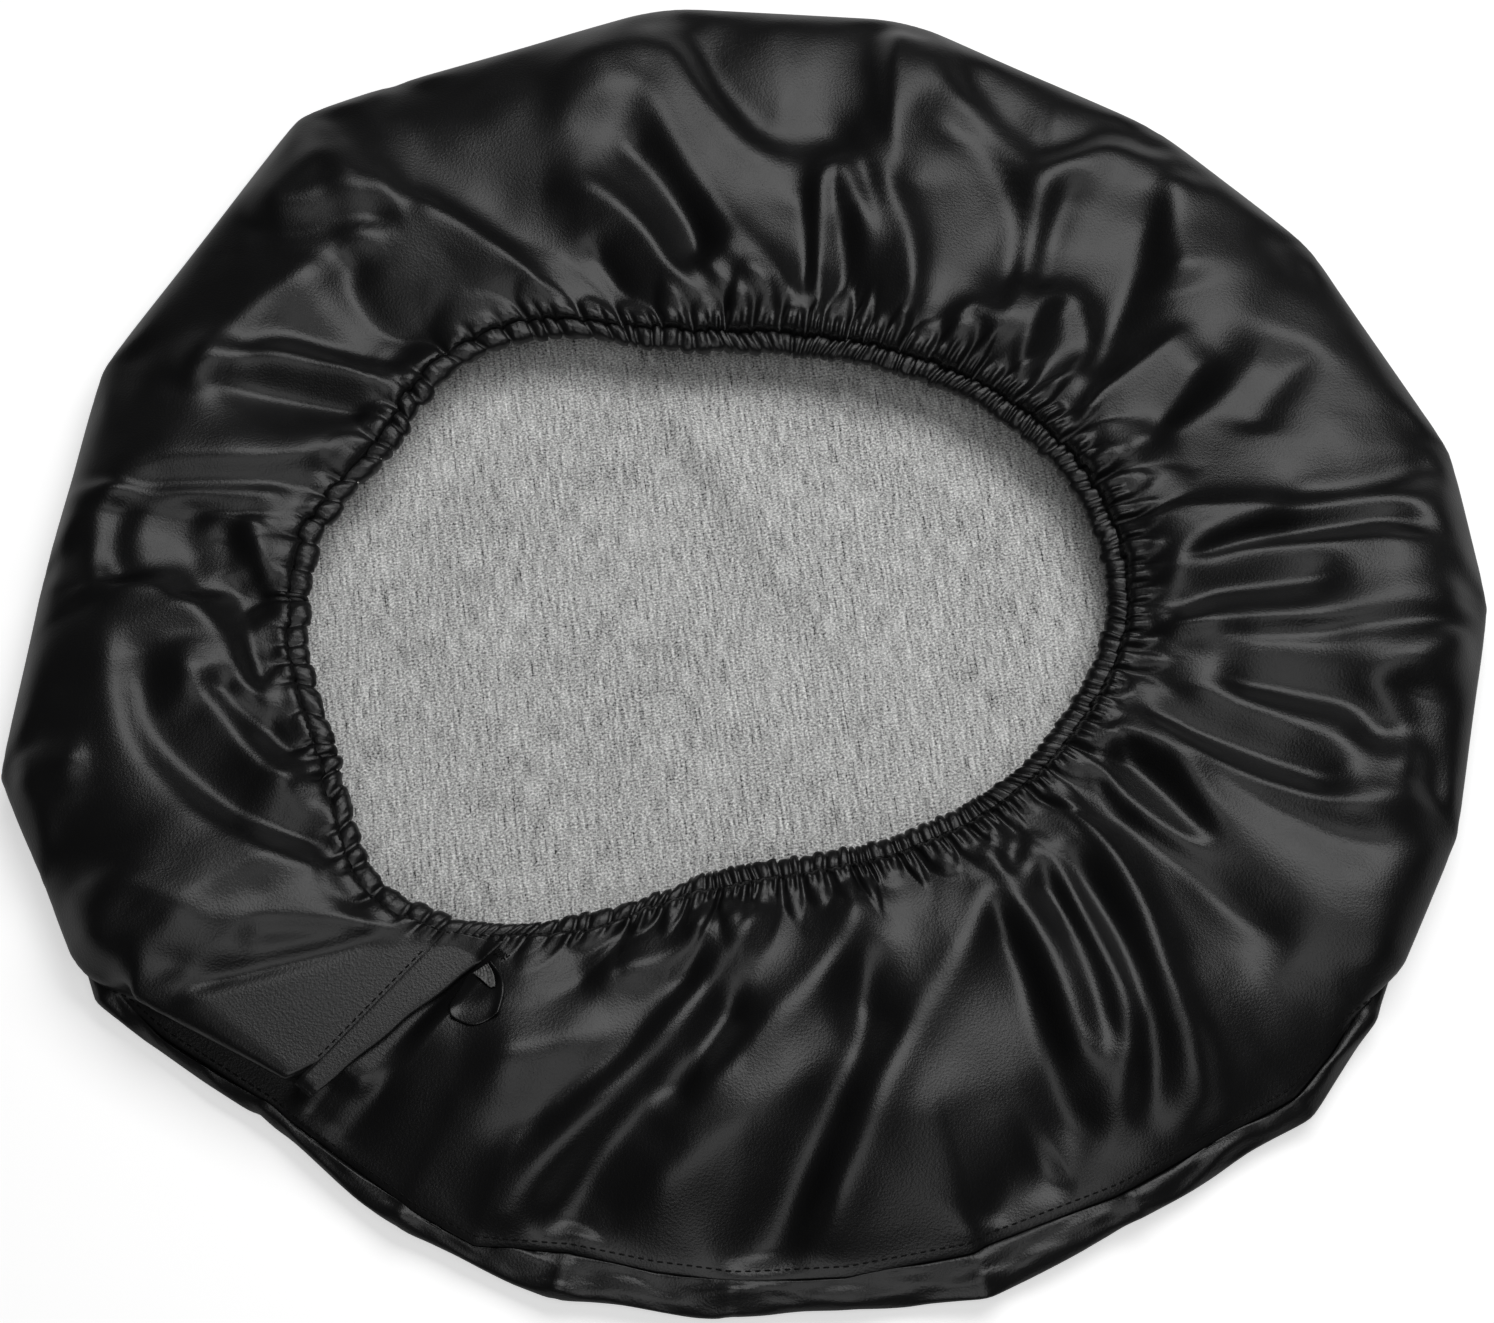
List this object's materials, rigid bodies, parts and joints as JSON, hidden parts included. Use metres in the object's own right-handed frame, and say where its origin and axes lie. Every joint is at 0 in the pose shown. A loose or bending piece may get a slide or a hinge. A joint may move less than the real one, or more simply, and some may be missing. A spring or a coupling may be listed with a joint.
{
  "type": "spare tire cover",
  "caption": "Soft round cover with an elastic-gathered mouth, empty and lying face down with its hem lifted in loose folds.",
  "frame": {"origin": "centre of the face panel's outer side, which lies on the ground plane", "axes": "+Z out of the mouth, away from the face panel; +X towards the densely gathered side of the hem; the lap seam is on the -X -Y side"},
  "size_m": [0.6939, 0.6873, 0.0462],
  "materials": {
    "black_vinyl": "satin, fine grain",
    "grey_knit": "matte, ribbed knit",
    "white_elastic": "matte, braided",
    "black_thread": "matte, twisted"
  },
  "bodies": {
    "face": {"face_panel": "black_vinyl", "face_backing": "grey_knit", "rim_seam_thread": "black_thread"},
    "back": {"band_panel": "black_vinyl", "band_backing": "grey_knit", "rim_topstitch_thread": "black_thread", "hem_casing": "black_vinyl", "hem_stitch_thread": "black_thread", "elastic_band": "white_elastic", "elastic_lap_end": "white_elastic", "elastic_tack_thread": "black_thread", "lap_stitch_thread": "black_thread", "lap_bar_tack": "black_thread", "under_lap": "black_vinyl"},
    "flap": {"overlap_flap": "black_vinyl", "overlap_flap_backing": "grey_knit"},
    "tab": {"under_lap_tab": "grey_knit"}
  },
  "joints": [
    {"name": "back_lift", "type": "slide", "parent": "face", "child": "back", "axis": [0, 0, 1], "range_m": [0, 0.045]},
    {"name": "flap_lift", "type": "hinge", "parent": "back", "child": "flap", "pos_m": [-0.151, -0.178, 0.03476], "axis": [-0.6473, -0.7447, 0.1624], "range_deg": [0, 60]},
    {"name": "tab_lift", "type": "hinge", "parent": "back", "child": "tab", "pos_m": [-0.122, -0.182, 0.03394], "axis": [-0.9993, -0.0349, 0.015], "range_deg": [0, 40]}
  ]
}
